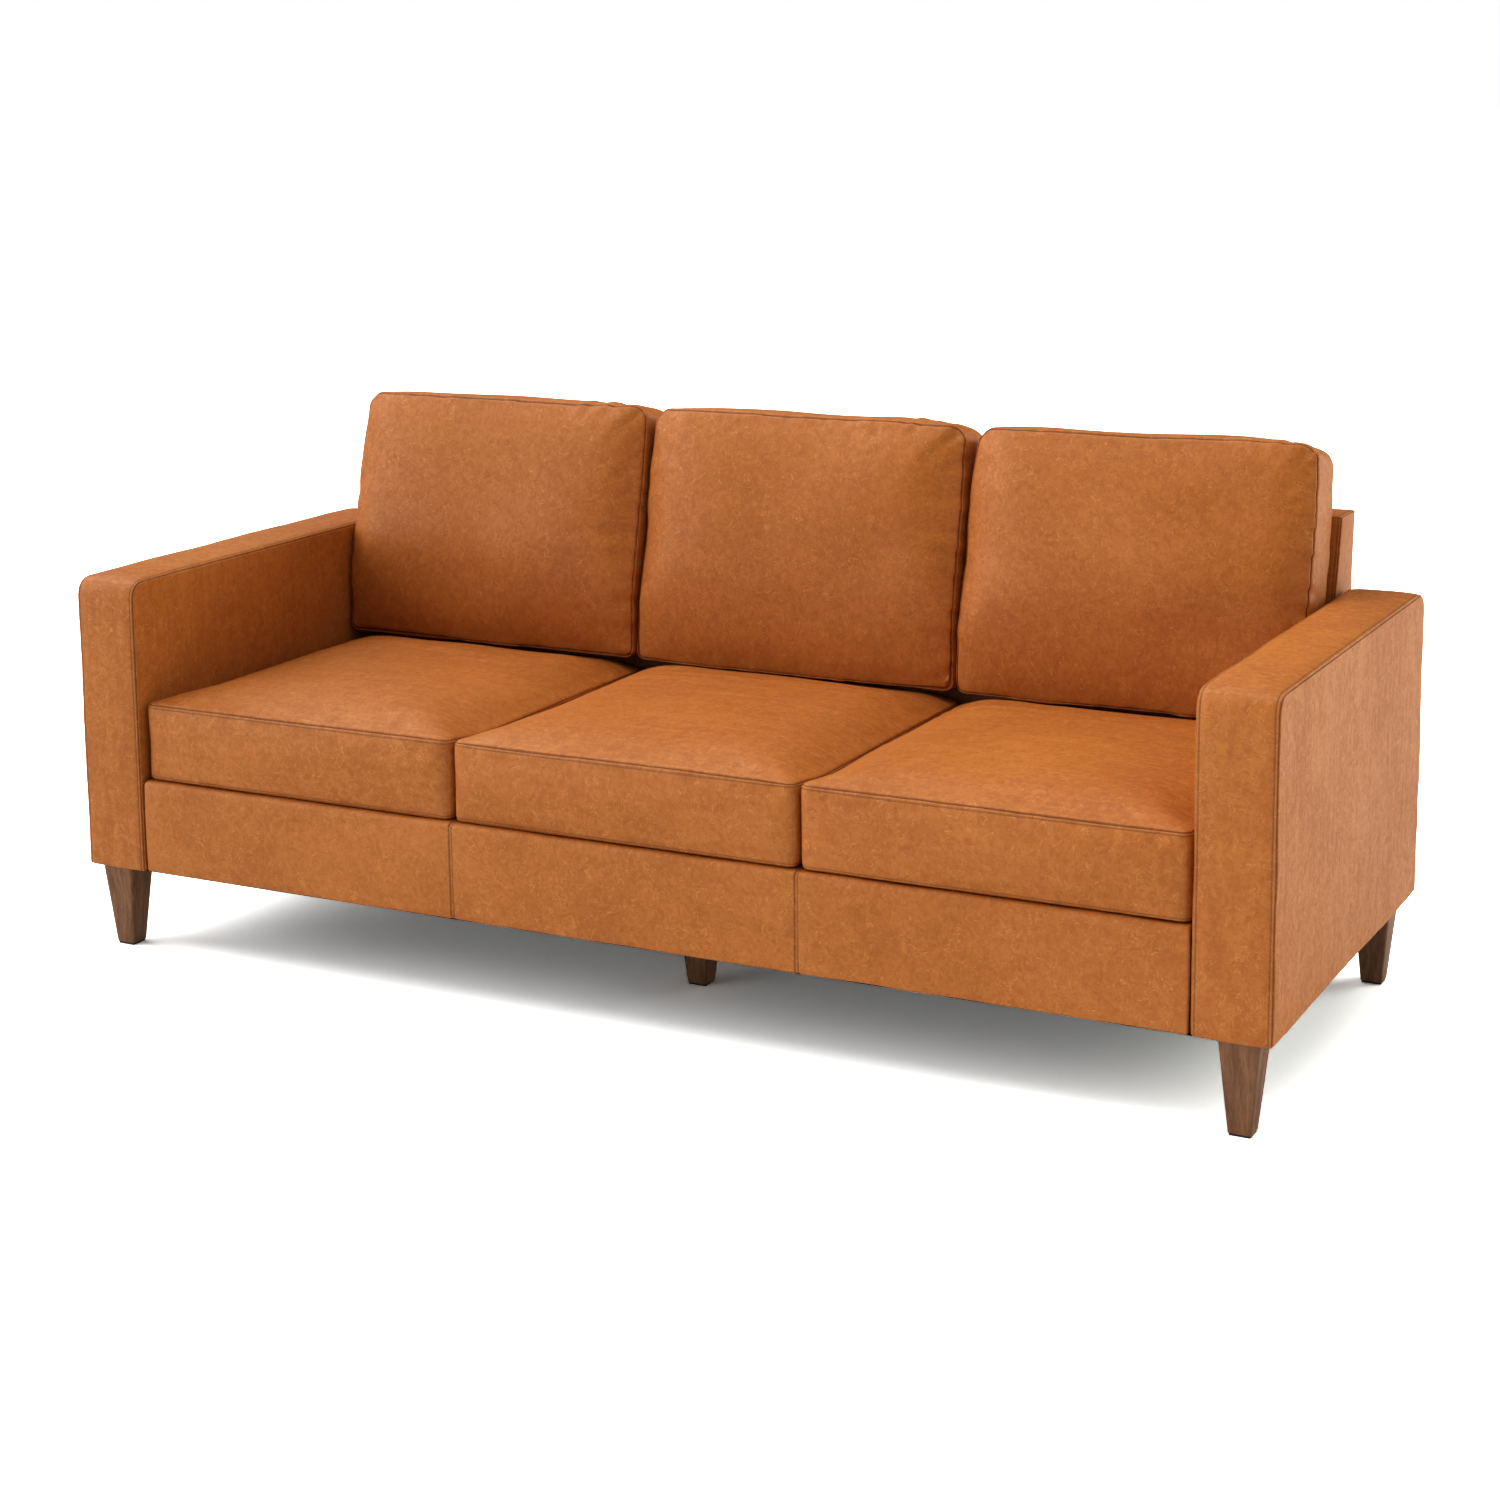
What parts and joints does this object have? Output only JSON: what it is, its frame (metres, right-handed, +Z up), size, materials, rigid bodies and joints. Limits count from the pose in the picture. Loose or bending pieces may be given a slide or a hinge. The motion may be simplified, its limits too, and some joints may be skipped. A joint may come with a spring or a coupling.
{
  "type": "leather sofa",
  "caption": "Leather sofa with slim track arms, loose box seat and back cushions, raked back and tapered square wooden legs.",
  "frame": {"origin": "middle of the sofa's footprint, on the floor that the glides stand on", "axes": "+X to the right as seen by someone facing the sofa's front, +Y from the front to the back, +Z up"},
  "size_m": [2.08, 0.848, 0.8796],
  "materials": {
    "tan_leather": "satin",
    "walnut": "satin",
    "frame_timber": "matte",
    "foam_filling": "matte",
    "deck_cloth": "matte",
    "dust_cloth": "matte",
    "spring_steel": "satin",
    "bolt_steel": "satin",
    "glide_plastic": "matte"
  },
  "bodies": {
    "sofa_frame": {"arm_cover_left": "tan_leather", "arm_cover_right": "tan_leather", "front_rail_cover": "tan_leather", "back_cover": "tan_leather", "seat_deck": "deck_cloth", "dust_cover": "dust_cloth", "front_rail": "frame_timber", "rear_rail": "frame_timber", "center_beam": "frame_timber", "side_rail_left": "frame_timber", "side_rail_right": "frame_timber", "arm_top_rail_left": "frame_timber", "arm_top_rail_right": "frame_timber", "back_post_left": "frame_timber", "back_post_right": "frame_timber", "back_top_rail": "frame_timber", "corner_block_front_left": "frame_timber", "corner_block_front_right": "frame_timber", "corner_block_rear_left": "frame_timber", "corner_block_rear_right": "frame_timber", "arm_post_front_left": "frame_timber", "arm_post_front_right": "frame_timber", "arm_post_rear_left": "frame_timber", "arm_post_rear_right": "frame_timber", "seat_spring_1": "spring_steel", "seat_spring_2": "spring_steel", "seat_spring_3": "spring_steel", "seat_spring_4": "spring_steel", "seat_spring_5": "spring_steel", "seat_spring_6": "spring_steel", "seat_spring_7": "spring_steel", "seat_spring_8": "spring_steel", "seat_spring_9": "spring_steel", "leg_front_left": "walnut", "leg_front_right": "walnut", "leg_rear_left": "walnut", "leg_rear_right": "walnut", "leg_center": "walnut", "glide_front_left": "glide_plastic", "glide_front_right": "glide_plastic", "glide_rear_left": "glide_plastic", "glide_rear_right": "glide_plastic", "glide_center": "glide_plastic", "leg_bolt_front_left": "bolt_steel", "leg_bolt_front_right": "bolt_steel", "leg_bolt_rear_left": "bolt_steel", "leg_bolt_rear_right": "bolt_steel", "leg_bolt_center": "bolt_steel"},
    "seat_left": {"seat_cushion_left": "tan_leather", "seat_foam_left": "foam_filling"},
    "seat_center": {"seat_cushion_center": "tan_leather", "seat_foam_center": "foam_filling"},
    "seat_right": {"seat_cushion_right": "tan_leather", "seat_foam_right": "foam_filling"},
    "back_left": {"back_cushion_left": "tan_leather", "back_fill_left": "foam_filling"},
    "back_center": {"back_cushion_center": "tan_leather", "back_fill_center": "foam_filling"},
    "back_right": {"back_cushion_right": "tan_leather", "back_fill_right": "foam_filling"}
  },
  "joints": [
    {"name": "seat_left_slide", "type": "slide", "parent": "sofa_frame", "child": "seat_left", "axis": [0, -0.9998, 0.0175], "range_m": [0, 0.6]},
    {"name": "seat_center_slide", "type": "slide", "parent": "sofa_frame", "child": "seat_center", "axis": [0, -0.9998, 0.0175], "range_m": [0, 0.6]},
    {"name": "seat_right_slide", "type": "slide", "parent": "sofa_frame", "child": "seat_right", "axis": [0, -0.9998, 0.0175], "range_m": [0, 0.6]},
    {"name": "back_left_lift", "type": "slide", "parent": "sofa_frame", "child": "back_left", "axis": [0, 0.225, 0.9744], "range_m": [0, 0.45]},
    {"name": "back_center_lift", "type": "slide", "parent": "sofa_frame", "child": "back_center", "axis": [0, 0.225, 0.9744], "range_m": [0, 0.45]},
    {"name": "back_right_lift", "type": "slide", "parent": "sofa_frame", "child": "back_right", "axis": [0, 0.225, 0.9744], "range_m": [0, 0.45]}
  ]
}
